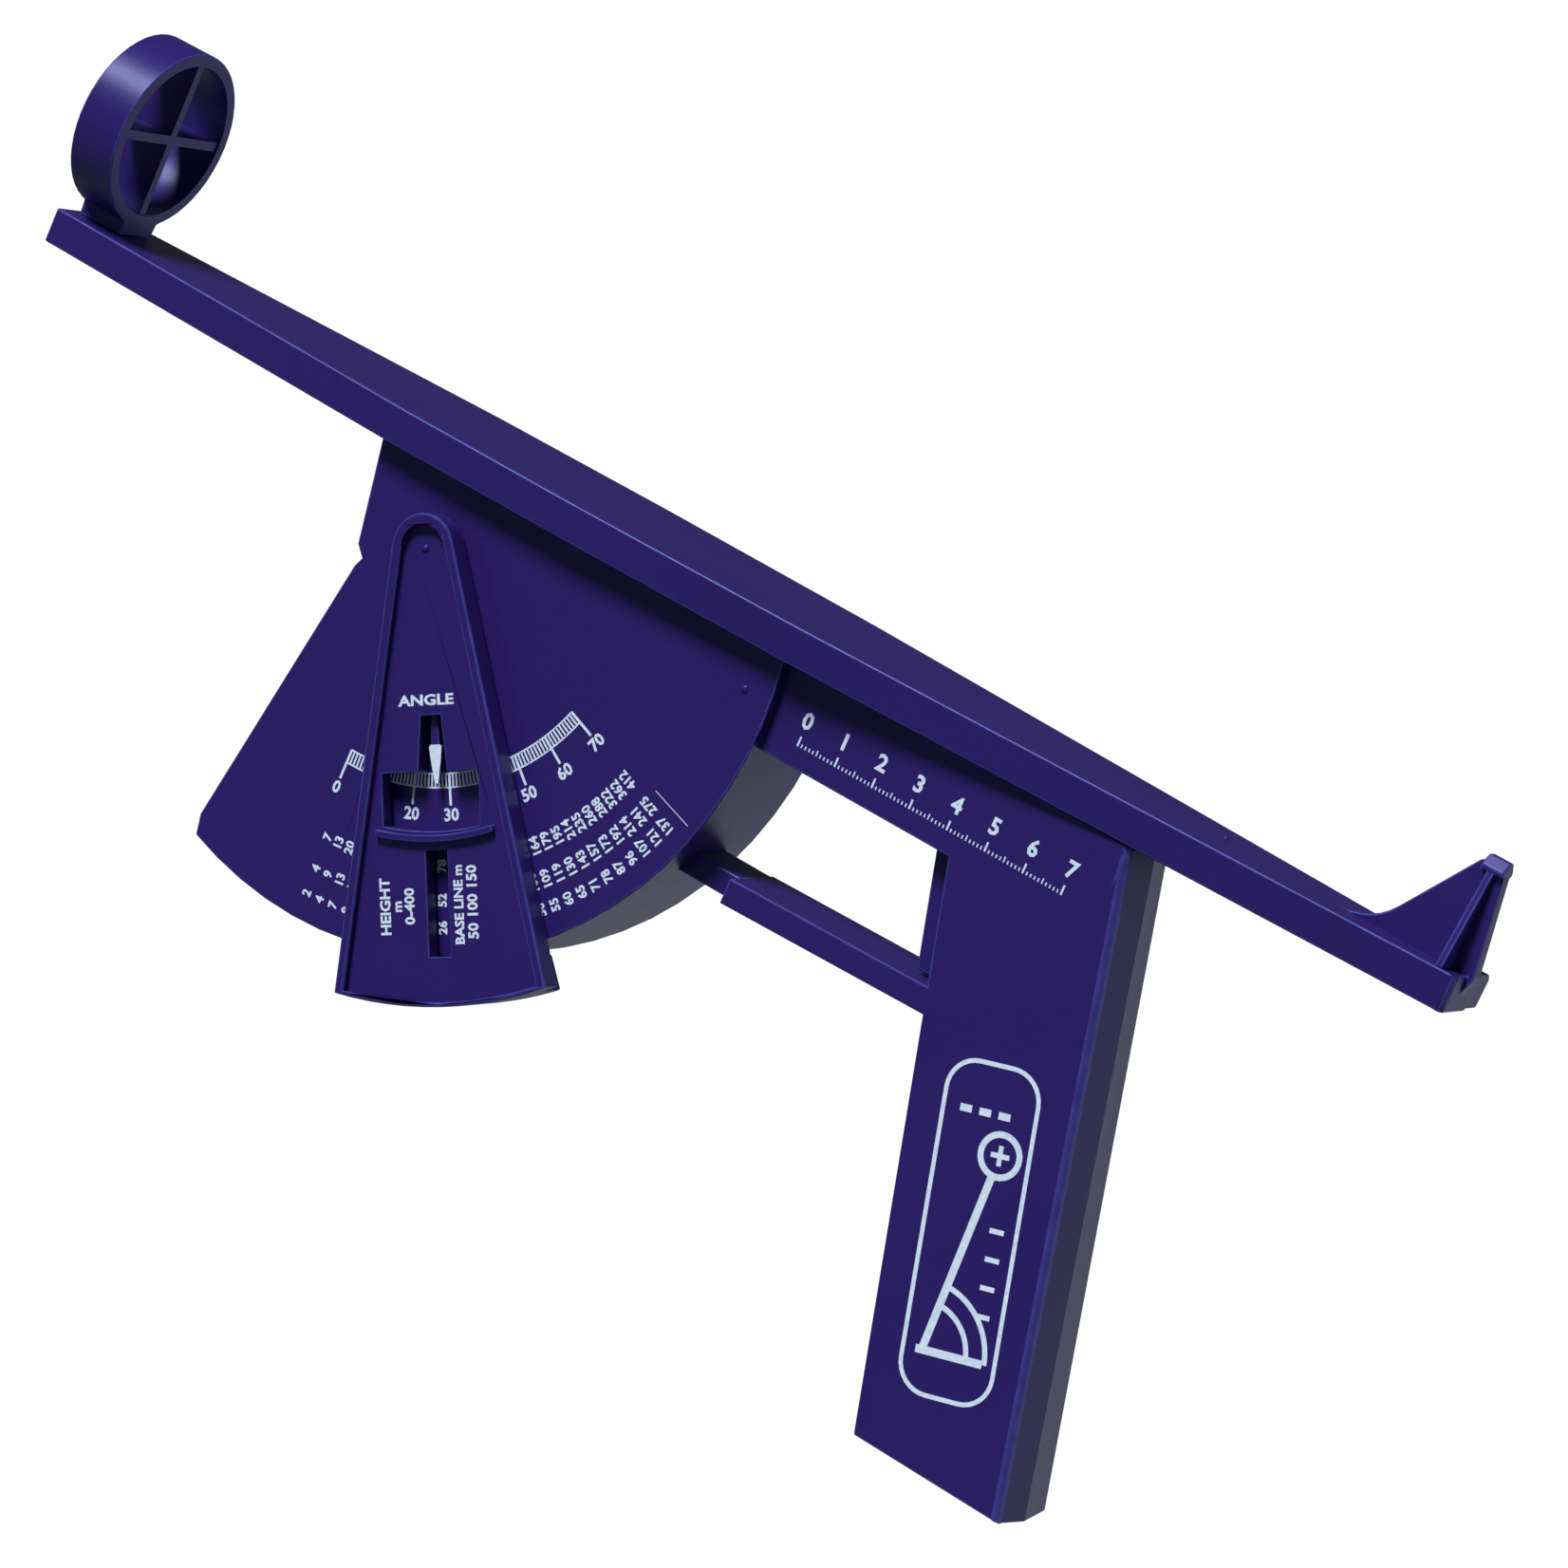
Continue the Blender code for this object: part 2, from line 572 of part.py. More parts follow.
def weight_pieces(empty):
    """The steel weight, the cover that keeps it in its pocket and the cover's two screws."""
    slug = polar_block(95.3, 99.6, 9.5, ARM_FLOOR[0] + 0.9 + GAP, COVER_Y[0] - GAP, 10)
    finish(slug, "pendulum_weight", steel(), empty)
    cover = polar_block(HOUSING_R, ARM_END_R, HOUSING_ANGLE, *COVER_Y)
    through = [rod_y(x, z, 1.2, COVER_Y[0] - 1.0, COVER_Y[1] + 1.0, 12) for x, z in cover_screw_spots()]
    sinks = [rod_y(x, z, 2.2, COVER_Y[1] - 1.3, COVER_Y[1] + 1.0, 16) for x, z in cover_screw_spots()]
    cover = cut(cover, *through, *sinks)
    finish(cover, "weight_cover", indigo(), empty)
    for number, (x, z) in enumerate(cover_screw_spots(), 1):
        seat = COVER_Y[1] - 1.3 + 0.25
        screw = screw_y(x, z, seat, 1.0, head_r=1.9, shank_r=0.9, length=6.0, sense=1)
        finish(screw, f"cover_screw_{number}", steel(), empty)


def pivot_pieces(pendulum_empty, body):
    """Bush in the body; drum, washer and screw on the pendulum's stub."""
    bush = cut(turned([(0, -15.0), (5.0, -15.0), (5.0, -8.0), (6.8, -8.0), (6.8, -7.0), (0, -7.0)],
                      (0, 0, 0), steps=32),
               rod_y(0, 0, STUB_R + GAP, -16.0, -6.0, 32))
    finish(bush, "pivot_bush", material("acetal", (0.75, 0.74, 0.70), 0.35), body)
    drum = join(rod_y(0, 0, DRUM_R, *DRUM_Y, ROUND), rod_y(0, 0, 6.0, -6.7, DRUM_Y[0] + 0.5, 32))
    drum = cut(drum, rod_y(0, 0, STUB_R + GAP, -8.0, 0.0, 32))
    finish(drum, "brake_drum", material("drum_plastic", (0.03, 0.03, 0.035), 0.4), pendulum_empty)
    washer = cut(rod_y(0, 0, 5.0, -2.0, -1.2, 24), rod_y(0, 0, 1.6, -3.0, 0.0))
    finish(washer, "pendulum_washer", steel(), pendulum_empty)
    screw = screw_y(0, 0, -0.9, 1.9, head_r=3.0, shank_r=1.2, length=9.0, sense=1)
    finish(screw, "pendulum_screw", steel(), pendulum_empty)


# ---------------------------------------------------------------- screws

def screw_y(x, z, seat, head, head_r, shank_r, length, sense):
    """A cross-head screw along Y: its head stands beyond the seat in the sense's direction."""
    crown = seat + sense * head
    profile = [(0.0, crown), (head_r * 0.8, crown), (head_r, crown - sense * head * 0.4), (head_r, seat),
               (shank_r, seat), (shank_r, seat - sense * (length - 1.5)),
               (shank_r * 0.35, seat - sense * length), (0.0, seat - sense * length)]
    screw = turned(profile, (x, 0.0, z))
    reach, deep = head_r * 0.62, head * 0.55
    y = sorted((crown - sense * deep, crown + sense))
    blade = head_r * 0.13
    return cut(screw, box((x - reach, x + reach), y, (z - blade, z + blade)),
               box((x - blade, x + blade), y, (z - reach, z + reach)))


def case_screws(empty):
    """The screws that hold the two shells together, driven from the far side."""
    for number, (x, z) in enumerate(CASE_SCREWS, 1):
        seat = cavity_floor(x, z, far_depth) + GAP
        screw = screw_y(x, z, seat, 1.7, head_r=2.9, shank_r=1.45, length=seat + 7.0, sense=1)
        finish(screw, f"case_screw_{number}", steel(), empty)


def bar_screws(empty):
    """The screws that hold the bar down, driven up from inside the rear shell."""
    for number, x in enumerate(BAR_SCREWS_X, 1):
        seat = BODY_TOP - WALL - GAP
        profile = [(0.0, seat - 1.6), (2.3, seat - 1.6), (2.8, seat - 1.0), (2.8, seat), (1.45, seat),
                   (1.45, BAR_TOP - 3.4), (0.6, BAR_TOP - 2.2), (0.0, BAR_TOP - 2.2)]
        screw = turned(profile, (x, BAR_SCREW_Y, 0.0), axis="z")
        screw = cut(screw, box((x - 1.7, x + 1.7), (BAR_SCREW_Y - 0.4, BAR_SCREW_Y + 0.4),
                               (seat - 3.0, seat - 0.8)))
        finish(screw, f"bar_screw_{number}", steel(), empty)


# ---------------------------------------------------------------- trigger and brake

def trigger_blade(empty):
    """The trigger: a blade in the guard with a block behind it that slides inside the grip."""
    top, foot = PANEL_BOTTOM - GAP, GUARD_TOP[1] + 0.6
    rear = SPRING_X[0] - GAP
    block_x = grip_front(PANEL_BOTTOM) + WALL + 0.6
    nose = [(grip_front(top) - TRIGGER_PROUD, top), (grip_front(foot) - TRIGGER_PROUD, foot),
            (rear, foot), (rear, top)]
    near, far = -TRIGGER_Y[0], TRIGGER_Y[1]
    blade = prism_y(nose, near, far)
    block = box((block_x, rear), (near, far), (top - 4.0, 9.0))
    peg = rod_x(0.0, ROD_Z, 1.6, rear - 1.0, rear + 9.0)
    blade = join(blade, block, peg)
    fork = box((block_x - 1.0, rear - 2.4), (-6.8, -1.2), (ROD_Z - ROD_HALF - GAP, 10.0))
    pin_bore = rod_y(149.0, ROD_Z, 1.8, -8.0, 8.0)
    blade = cut(blade, fork, pin_bore)
    return finish(blade, "trigger", indigo(), empty)


def brake_pieces(empty):
    """The rod that carries the rubber pad, its pin in the trigger, and the return spring."""
    low, high = ROD_Z - ROD_HALF, ROD_Z + ROD_HALF
    rod = box((22.0, 151.4), (-6.5, -1.5), (low, high))
    shoe = box((19.6, 24.0), (-6.5, -1.5), (-4.6, 9.0))
    rod = join(rod, shoe)
    rod = cut(rod, rod_y(149.0, ROD_Z, 1.8, -8.0, 0.0))
    finish(rod, "brake_rod", material("rod_plastic", (0.03, 0.03, 0.035), 0.45), empty)

    face_r = DRUM_R + GAP
    pad_x = 19.3
    lower, upper = 90.0 - 18.0, 90.0 + 36.0
    face = arc(face_r, lower, upper, 12)
    pad = prism_y(face + [(pad_x, face[-1][1]), (pad_x, face[0][1])], DRUM_Y[0], DRUM_Y[1])
    finish(pad, "brake_pad", material("rubber", (0.02, 0.02, 0.02), 0.85), empty)

    pin = rod_y(149.0, ROD_Z, 1.5, 0.1 - TRIGGER_Y[0], TRIGGER_Y[1] - 0.1)
    finish(pin, "trigger_pin", steel(), empty)

    finish(coil_spring(), "return_spring", steel(), empty)


def coil_spring():
    """A compression spring along X behind the trigger."""
    per_turn, around = 14, 8
    start, end = SPRING_X[0] + SPRING_WIRE_R, SPRING_X[1] - SPRING_WIRE_R
    pitch = (end - start) / SPRING_TURNS
    rise = atan2(pitch, 2 * pi * SPRING_R)
    loops = []
    for i in range(SPRING_TURNS * per_turn + 1):
        turn = 2 * pi * i / per_turn
        outward = Vector((0.0, cos(turn), sin(turn)))
        tangent = Vector((sin(rise), -sin(turn) * cos(rise), cos(turn) * cos(rise)))
        side = tangent.cross(outward)
        centre = outward * SPRING_R + Vector((start + pitch * turn / (2 * pi), 0.0, ROD_Z))
        loops.append([centre + SPRING_WIRE_R * (cos(a) * outward + sin(a) * side)
                      for a in (2 * pi * k / around for k in range(around))])
    return loft(loops)


# ---------------------------------------------------------------- materials and assembly

def indigo():
    """The indigo plastic of every outside moulding."""
    return material("indigo_plastic", INDIGO, 0.38)


def steel():
    """Bright steel of the fasteners, spring and weight."""
    return material("steel", GUN_METAL, 0.3, 1.0)


def build():
    """Clear the scene and make every piece."""
    for old in list(bpy.data.objects):
        bpy.data.objects.remove(old)
    body = body_empty("body_frame")
    pendulum = body_empty("pendulum_frame", READING)
    trigger = body_empty("trigger_frame")
    front_shell(body)
    rear_shell(body)
    sight_bar(body)
    front_ring(body)
    case_screws(body)
    bar_screws(body)
    pendulum_arm(pendulum)
    weight_pieces(pendulum)
    pivot_pieces(pendulum, body)
    trigger_blade(trigger)
    brake_pieces(trigger)


build()
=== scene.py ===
"""Looks for the pistol-grip inclinometer: rounded mouldings, printed dial, materials, light and camera.

Everything is drawn in millimetres from the pendulum's pivot: X runs along the sight bar towards the
user, Z is up and Y is the depth from the middle plane, with the dial side at -Y.
"""
import json
from math import atan2, cos, pi, radians, sin, tan

import bmesh
import bpy
from mathutils import Matrix, Vector
from mathutils.bvhtree import BVHTree


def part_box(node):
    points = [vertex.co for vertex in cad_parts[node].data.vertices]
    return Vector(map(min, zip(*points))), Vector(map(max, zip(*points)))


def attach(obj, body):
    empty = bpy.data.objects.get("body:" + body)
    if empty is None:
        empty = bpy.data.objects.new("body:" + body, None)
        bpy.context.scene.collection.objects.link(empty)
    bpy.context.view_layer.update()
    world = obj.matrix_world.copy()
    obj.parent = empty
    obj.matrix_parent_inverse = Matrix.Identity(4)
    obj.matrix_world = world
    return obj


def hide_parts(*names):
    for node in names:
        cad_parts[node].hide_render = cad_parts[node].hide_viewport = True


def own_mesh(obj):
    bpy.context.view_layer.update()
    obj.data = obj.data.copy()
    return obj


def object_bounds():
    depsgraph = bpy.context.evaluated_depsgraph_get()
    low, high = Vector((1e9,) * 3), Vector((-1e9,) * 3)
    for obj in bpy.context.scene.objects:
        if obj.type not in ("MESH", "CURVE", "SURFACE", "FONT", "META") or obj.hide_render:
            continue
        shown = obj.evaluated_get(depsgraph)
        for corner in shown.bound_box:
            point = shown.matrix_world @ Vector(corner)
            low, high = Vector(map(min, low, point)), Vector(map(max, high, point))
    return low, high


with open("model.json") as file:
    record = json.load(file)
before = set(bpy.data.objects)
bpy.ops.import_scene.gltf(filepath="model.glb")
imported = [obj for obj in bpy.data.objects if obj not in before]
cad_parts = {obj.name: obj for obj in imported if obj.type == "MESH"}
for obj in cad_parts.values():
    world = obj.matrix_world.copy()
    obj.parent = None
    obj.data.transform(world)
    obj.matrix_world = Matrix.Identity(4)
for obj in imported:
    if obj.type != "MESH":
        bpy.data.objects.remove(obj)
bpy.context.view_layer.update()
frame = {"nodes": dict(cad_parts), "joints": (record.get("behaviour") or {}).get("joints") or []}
NODES = frame["nodes"]
MM = 0.001

JOINTS = {joint["name"]: joint for joint in frame["joints"]}
HINGE_X, _, HINGE_Z = JOINTS["pendulum_swing"]["pos_m"]
PIVOT = Vector((HINGE_X, 0.0, HINGE_Z))
WEIGHT = sum(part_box("pendulum_weight"), Vector()) / 2 - PIVOT
READING = atan2(WEIGHT.x, -WEIGHT.z)            # angle at which the pendulum hangs at rest

ROUND_LAYER = "round"                           # marks the faces of rounded edges
SHELL_GAP = 0.3                                 # the CAD's clearance in the joint between the shells
CLOSED_GAP = 0.02                               # what is left of it here, so that no light passes
RING_OUTER_R = 21.6                             # the front ring
GRIP_MARK = (182.0, -73.5)                      # middle of the mark on the grip
INK = 0.05                                      # how far the print stands off its surface
SINK = 0.12                                     # and how far it goes in, so that it has no gap below
INK_STEP = 0.004                                # crossing strokes differ in depth by this much
LEGEND_Z = -79.0                                # middle of the pendulum's upright legends
FLOOR_DROP = 0.9                                # the floor's depth below the part and its reach, in metres
FLOOR_REACH = 60.0


# ---------------------------------------------------------------- places and depths

def place(x, y, z):
    """A spot in millimetres from the pivot, in the scene."""
    return PIVOT + Vector((x, y, z)) * MM


def face_depth(node, x, z):
    """Depth in millimetres of a CAD node's surface, seen from the dial side."""
    builder = bmesh.new()
    builder.from_mesh(NODES[node].data)
    tree = BVHTree.FromBMesh(builder)
    builder.free()
    start = place(x, -60.0, z)
    hit = tree.ray_cast(start, Vector((0.0, 1.0, 0.0)))
    return (hit[0].y - PIVOT.y) / MM


# ---------------------------------------------------------------- node-based materials

class Finish:
    """A Principled material with a small set of helpers for its procedural detail."""

    def __init__(self, name, color, roughness, metallic=0.0, specular=0.5):
        self.material = bpy.data.materials.new(name)
        self.material.use_nodes = True
        self.nodes = self.material.node_tree.nodes
        self.links = self.material.node_tree.links
        self.shader = self.nodes["Principled BSDF"]
        self.shader.inputs["Base Color"].default_value = (*color, 1.0)
        self.shader.inputs["Roughness"].default_value = roughness
        self.shader.inputs["Metallic"].default_value = metallic
        self.shader.inputs["Specular IOR Level"].default_value = specular
        self.place = self.nodes.new("ShaderNodeTexCoord")

    def noise(self, scale, detail=3.0, rough=0.55, stretch=(1.0, 1.0, 1.0)):
        """Noise in metres: scale is in features a metre."""
        mapping = self.nodes.new("ShaderNodeMapping")
        mapping.inputs["Scale"].default_value = stretch
        self.links.new(self.place.outputs["Object"], mapping.inputs["Vector"])
        made = self.nodes.new("ShaderNodeTexNoise")
        made.inputs["Scale"].default_value = scale
        made.inputs["Detail"].default_value = detail
        made.inputs["Roughness"].default_value = rough
        self.links.new(mapping.outputs["Vector"], made.inputs["Vector"])
        return made.outputs["Fac"]

    def ramp(self, source, low, high, to_low=0.0, to_high=1.0):
        """source remapped from low..high to to_low..to_high, and held there."""
        made = self.nodes.new("ShaderNodeMapRange")
        made.clamp = True
        for name, value in (("From Min", low), ("From Max", high), ("To Min", to_low), ("To Max", to_high)):
            made.inputs[name].default_value = value
        self.links.new(source, made.inputs["Value"])
        return made.outputs["Result"]

    def product(self, first, second):
        """Two masks multiplied."""
        made = self.nodes.new("ShaderNodeMath")
        made.operation = "MULTIPLY"
        self.links.new(first, made.inputs[0])
        self.links.new(second, made.inputs[1])
        return made.outputs["Value"]

    def mix(self, mask, first, second):
        """first where mask is 0, second where it is 1; a color or a socket each."""
        made = self.nodes.new("ShaderNodeMix")
        made.data_type = "RGBA"
        self.links.new(mask, made.inputs["Factor"])
        for socket, value in ((made.inputs[6], first), (made.inputs[7], second)):
            if isinstance(value, tuple):
                socket.default_value = (*value, 1.0)
            else:
                self.links.new(value, socket)
        return made.outputs[2]

    def edges(self):
        """Where an edge of a moulding was rounded."""
        made = self.nodes.new("ShaderNodeAttribute")
        made.attribute_name = ROUND_LAYER
        return made.outputs["Fac"]

    def color(self, source):
        """Drive the base color."""
        self.links.new(source, self.shader.inputs["Base Color"])

    def roughness(self, source):
        """Drive the roughness."""
        self.links.new(source, self.shader.inputs["Roughness"])

    def bump(self, source, height):
        """Add bump, with its height in metres."""
        made = self.nodes.new("ShaderNodeBump")
        made.inputs["Distance"].default_value = height
        made.inputs["Strength"].default_value = 1.0
        self.links.new(source, made.inputs["Height"])
        self.links.new(made.outputs["Normal"], self.shader.inputs["Normal"])


def indigo_plastic():
    """Satin indigo moulded plastic: fine spark-eroded grain, faint flow mottling, rounded edges lightened
    partly as wear and partly as a painted highlight.
    """
    made = Finish("indigo_plastic", (0.032, 0.014, 0.20), 0.36, specular=0.45)
    made.shader.inputs["Specular Tint"].default_value = (0.50, 0.56, 1.0, 1.0)
    flow = made.noise(26.0, 3.0, 0.5)
    base = made.mix(made.ramp(flow, 0.30, 0.72), (0.0215, 0.0098, 0.126), (0.0245, 0.0112, 0.140))
    # Rounded edges go pale blue. This is partly edge wear and partly a painted highlight that stands in for
    # the bright lines of light along the edges.
    edge_wear_and_highlight = made.product(made.edges(), made.ramp(made.noise(160.0, 5.0, 0.7), 0.30, 0.62, 0.35, 0.95))
    base = made.mix(edge_wear_and_highlight, base, (0.050, 0.052, 0.29))
    made.color(base)
    scuff = made.noise(900.0, 6.0, 0.75, stretch=(0.12, 1.0, 1.0))
    made.roughness(made.ramp(scuff, 0.30, 0.72, 0.34, 0.40))
    made.bump(made.noise(3200.0, 3.0, 0.6), 0.000025)
    return made.material


def print_ink():
    """Bluish white pad print, slightly uneven and worn through in small spots."""
    made = Finish("print_ink", (0.66, 0.80, 0.95), 0.5, specular=0.35)
    tone = made.mix(made.ramp(made.noise(700.0, 4.0, 0.6), 0.35, 0.7), (0.56, 0.72, 0.93), (0.76, 0.87, 0.98))
    worn = made.ramp(made.noise(1900.0, 5.0, 0.7), 0.66, 0.74)
    made.color(made.mix(worn, tone, (0.12, 0.11, 0.42)))
    made.roughness(made.ramp(made.noise(1500.0, 3.0), 0.3, 0.7, 0.42, 0.62))
    made.bump(made.noise(3200.0, 3.0, 0.6), 0.00003)
    return made.material


def zinc_steel():
    """Zinc-plated steel with fine turning marks and duller patches."""
    made = Finish("zinc_steel", (0.50, 0.51, 0.53), 0.3, metallic=1.0)
    patches = made.ramp(made.noise(260.0, 5.0, 0.65), 0.35, 0.70)
    made.color(made.mix(patches, (0.42, 0.43, 0.44), (0.60, 0.61, 0.62)))
    made.roughness(made.ramp(made.noise(1400.0, 4.0, 0.7), 0.3, 0.7, 0.20, 0.44))
    made.bump(made.noise(4200.0, 2.0, 0.5, stretch=(1.0, 0.15, 1.0)), 0.00002)
    return made.material


def acetal():
    """Natural acetal, slightly waxy."""
    made = Finish("acetal", (0.75, 0.74, 0.70), 0.35, specular=0.45)
    made.color(made.mix(made.ramp(made.noise(300.0), 0.35, 0.7), (0.70, 0.68, 0.63), (0.80, 0.79, 0.76)))
    made.roughness(made.ramp(made.noise(1200.0), 0.3, 0.7, 0.28, 0.45))
    made.bump(made.noise(3000.0), 0.00002)
    return made.material


def black_plastic():
    """Black nylon with a fine moulded grain."""
    made = Finish("black_plastic", (0.03, 0.03, 0.035), 0.45, specular=0.4)
    tone = made.ramp(made.noise(240.0, 4.0), 0.35, 0.7)
    made.color(made.mix(tone, (0.022, 0.022, 0.026), (0.045, 0.045, 0.05)))
    made.roughness(made.ramp(made.noise(1800.0, 4.0), 0.3, 0.7, 0.36, 0.58))
    made.bump(made.noise(2800.0, 3.0), 0.00004)
    return made.material


def rubber():
    """Soft black rubber with dusty pores."""
    made = Finish("rubber", (0.02, 0.02, 0.02), 0.85, specular=0.25)
    dust = made.ramp(made.noise(900.0, 5.0, 0.7), 0.4, 0.75)
    made.color(made.mix(dust, (0.016, 0.016, 0.016), (0.055, 0.052, 0.05)))
    made.roughness(made.ramp(made.noise(2400.0, 3.0), 0.3, 0.7, 0.72, 0.95))
    made.bump(made.noise(3600.0, 4.0, 0.7), 0.00006)
    return made.material


def studio_floor():
    """Pale matt floor with a barely visible grain."""
    made = Finish("studio_floor", (0.9, 0.9, 0.9), 0.9, specular=0.1)
    made.color(made.mix(made.ramp(made.noise(3.0, 4.0), 0.3, 0.7), (0.965, 0.965, 0.965), (0.98, 0.98, 0.98)))
    return made.material


PLASTIC, WHITE_INK, STEEL = indigo_plastic(), print_ink(), zinc_steel()
ACETAL, NYLON, RUBBER = acetal(), black_plastic(), rubber()


# ---------------------------------------------------------------- rounded mouldings

def soften(builder, width, keep, segments):
    """Round the convex edges that keep(first end, second end) accepts, in millimetres from the pivot."""
    chosen = []
    for edge in builder.edges:
        if len(edge.link_faces) != 2 or not edge.is_convex or edge.calc_length() < 2.2 * width * MM:
            continue
        if edge.calc_face_angle() > radians(28) and keep(*((v.co - PIVOT) / MM for v in edge.verts)):
            chosen.append(edge)
    made = bmesh.ops.bevel(builder, geom=chosen, offset=width * MM, offset_type="OFFSET", segments=segments,
                           profile=0.5, affect="EDGES", clamp_overlap=False, loop_slide=True)
    layer = builder.faces.layers.float[ROUND_LAYER]
    for face in made["faces"]:
        face[layer] = 1.0


def corner_normal(face, vertex, layer):
    """Normal of a face at a vertex: flat faces stay flat, and a round runs smoothly between them."""
    flats = [f for f in vertex.link_faces if not f[layer]]
    limit = cos(radians(62 if face[layer] else 28))
    near = [f for f in flats if f.normal.dot(face.normal) > limit]
    if face[layer] and not near:
        near = [f for f in vertex.link_faces if f.normal.dot(face.normal) > limit]
    total = Vector((0.0, 0.0, 0.0))
    for other in near or [face]:
        total += other.normal * other.calc_area()
    return total.normalized() if total.length > 0 else face.normal


def rounded(node, name, body, passes, merge=False, joint=None):
    """A copy of a CAD moulding with its edges rounded, which stands for the node on its body.

    merge first joins the triangles of each flat face, which suits the mouldings with simple faces.
    joint brings the rim that lies at its first depth to its second.
    """
    builder = bmesh.new()
    builder.from_mesh(NODES[node].data)
    if joint:
        for corner in builder.verts:
            if abs(corner.co.y / MM - joint[0]) < 0.02:
                corner.co.y = joint[1] * MM
    bmesh.ops.remove_doubles(builder, verts=builder.verts, dist=2e-6)
    if merge:
        bmesh.ops.dissolve_limit(builder, angle_limit=radians(0.6), verts=builder.verts, edges=builder.edges)
    bmesh.ops.recalc_face_normals(builder, faces=builder.faces)
    builder.faces.layers.float.new(ROUND_LAYER)
    for width, keep, segments in passes:
        soften(builder, width, keep, segments)
    layer = builder.faces.layers.float[ROUND_LAYER]
    bmesh.ops.triangulate(builder, faces=[f for f in builder.faces if len(f.verts) > 4])
    bmesh.ops.dissolve_degenerate(builder, edges=builder.edges, dist=1e-7)
    builder.normal_update()
    normals = [corner_normal(face, loop.vert, layer) for face in builder.faces for loop in face.loops]
    mesh = bpy.data.meshes.new(name)
    builder.to_mesh(mesh)
    builder.free()
    mesh.shade_smooth()
    mesh.normals_split_custom_set(normals)
    mesh.materials.append(PLASTIC)
    piece = bpy.data.objects.new(name, mesh)
    bpy.context.scene.collection.objects.link(piece)
    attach(piece, body)
    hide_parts(node)
    return piece


def anywhere(first, second):
    """Every edge."""
    return True


ARM_FRONT_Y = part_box("pendulum_arm")[0].y / MM
SHELL_JOINT_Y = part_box("body_front_shell")[1].y / MM
RING_MIDDLE = (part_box("front_sight_ring")[1].z - PIVOT.z) / MM - RING_OUTER_R
HANDLE_DEPTH = face_depth("body_front_shell", *GRIP_MARK)


def on_arm_front(first, second):
    """The edges of the arm's raised ridge."""
    return first.y < ARM_FRONT_Y + 0.1 and second.y < ARM_FRONT_Y + 0.1


def off_arm_front(first, second):
    """The arm's other edges."""
    return not on_arm_front(first, second)


def on_ring_outside(first, second):
    """The front ring's outer rims and its foot, but not the bore and its webs."""
    return min(Vector((p.y, p.z - RING_MIDDLE)).length for p in (first, second)) > RING_OUTER_R - 2.0


def off_joint(first, second):
    """The edges that aren't on the joint between the shells."""
    return abs(first.y - SHELL_JOINT_Y) > 0.8 or abs(second.y - SHELL_JOINT_Y) > 0.8


def on_grip_back(first, second):
    """The long edge between the grip's dial side and its back."""
    on_back = all(p.y < HANDLE_DEPTH + 0.2 and p.x > 175.0 for p in (first, second))
    return on_back and abs(first.z - second.z) > 40.0


def off_grip_back(first, second):
    """The dial-side shell's other edges."""
    return off_joint(first, second) and not on_grip_back(first, second)


rounded("body_front_shell", "front_shell_moulding", "body",
        [(1.7, on_grip_back, 4), (0.45, off_grip_back, 2)])
rounded("body_rear_shell", "rear_shell_moulding", "body", [(0.45, off_joint, 2)], merge=True,
        joint=(SHELL_JOINT_Y + SHELL_GAP, SHELL_JOINT_Y + CLOSED_GAP))
rounded("sight_bar", "sight_bar_moulding", "body", [(0.45, anywhere, 2)])
rounded("front_sight_ring", "front_ring_moulding", "body", [(0.45, on_ring_outside, 3)], merge=True)
rounded("pendulum_arm", "pendulum_moulding", "pendulum",
        [(0.52, on_arm_front, 3), (0.3, off_arm_front, 2)])
rounded("weight_cover", "weight_cover_moulding", "pendulum", [(0.4, anywhere, 2)], merge=True)
rounded("trigger", "trigger_moulding", "trigger", [(0.7, anywhere, 3)])

HIDDEN_LOOKS = {"pivot_bush": ACETAL, "brake_drum": NYLON, "brake_rod": NYLON, "brake_pad": RUBBER,
                "pendulum_weight": STEEL, "pendulum_washer": STEEL, "pendulum_screw": STEEL,
                "trigger_pin": STEEL, "return_spring": STEEL}
for kind, count in (("cover", 2), ("case", 8), ("bar", 3)):
    for number in range(1, count + 1):
        HIDDEN_LOOKS[f"{kind}_screw_{number}"] = STEEL
for name, look in HIDDEN_LOOKS.items():
    NODES[name].material_slots[0].material = look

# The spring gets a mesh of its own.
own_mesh(NODES["return_spring"])


# ---------------------------------------------------------------- print

def on_dial(radius, angle):
    """A spot on the dial from its radius and its angle from straight down."""
    return radius * sin(angle), -radius * cos(angle)


